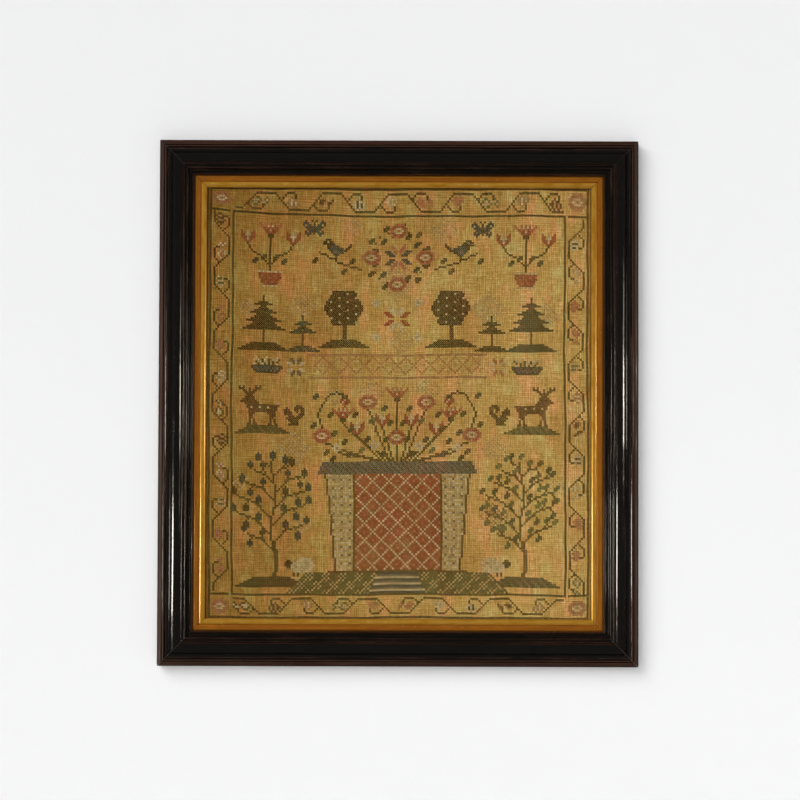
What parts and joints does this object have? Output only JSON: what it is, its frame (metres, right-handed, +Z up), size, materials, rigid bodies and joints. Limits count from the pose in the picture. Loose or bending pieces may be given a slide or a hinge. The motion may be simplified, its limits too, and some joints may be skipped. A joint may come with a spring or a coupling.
{
  "type": "framed cross stitch sampler",
  "caption": "Cross stitch sampler on a stretched ground cloth, in a mitred ebonised moulding with a gilt slip, hung flat on a wall.",
  "frame": {"origin": "on the flat back of the top rail, at the middle of its length and of its width, where the frame bears on the wall", "axes": "+Z up the height of the picture, +Y out of its back towards the wall, so that the picture faces -Y, and +X to the right as one looks at it"},
  "size_m": [0.52, 0.0232, 0.57],
  "materials": {
    "ebonised_wood": "polished black, worn to reddish brown on the raised edges",
    "gilt_slip": "aged gilding, satin",
    "ground_cloth": "plain open weave, golden tan, matt",
    "backboard": "plain unfinished board, matt"
  },
  "bodies": {
    "root": {"rail_top": "ebonised_wood", "rail_right": "ebonised_wood", "rail_bottom": "ebonised_wood", "rail_left": "ebonised_wood", "slip_top": "gilt_slip", "slip_right": "gilt_slip", "slip_bottom": "gilt_slip", "slip_left": "gilt_slip", "sampler_cloth": "ground_cloth", "backboard": "backboard"}
  },
  "joints": []
}
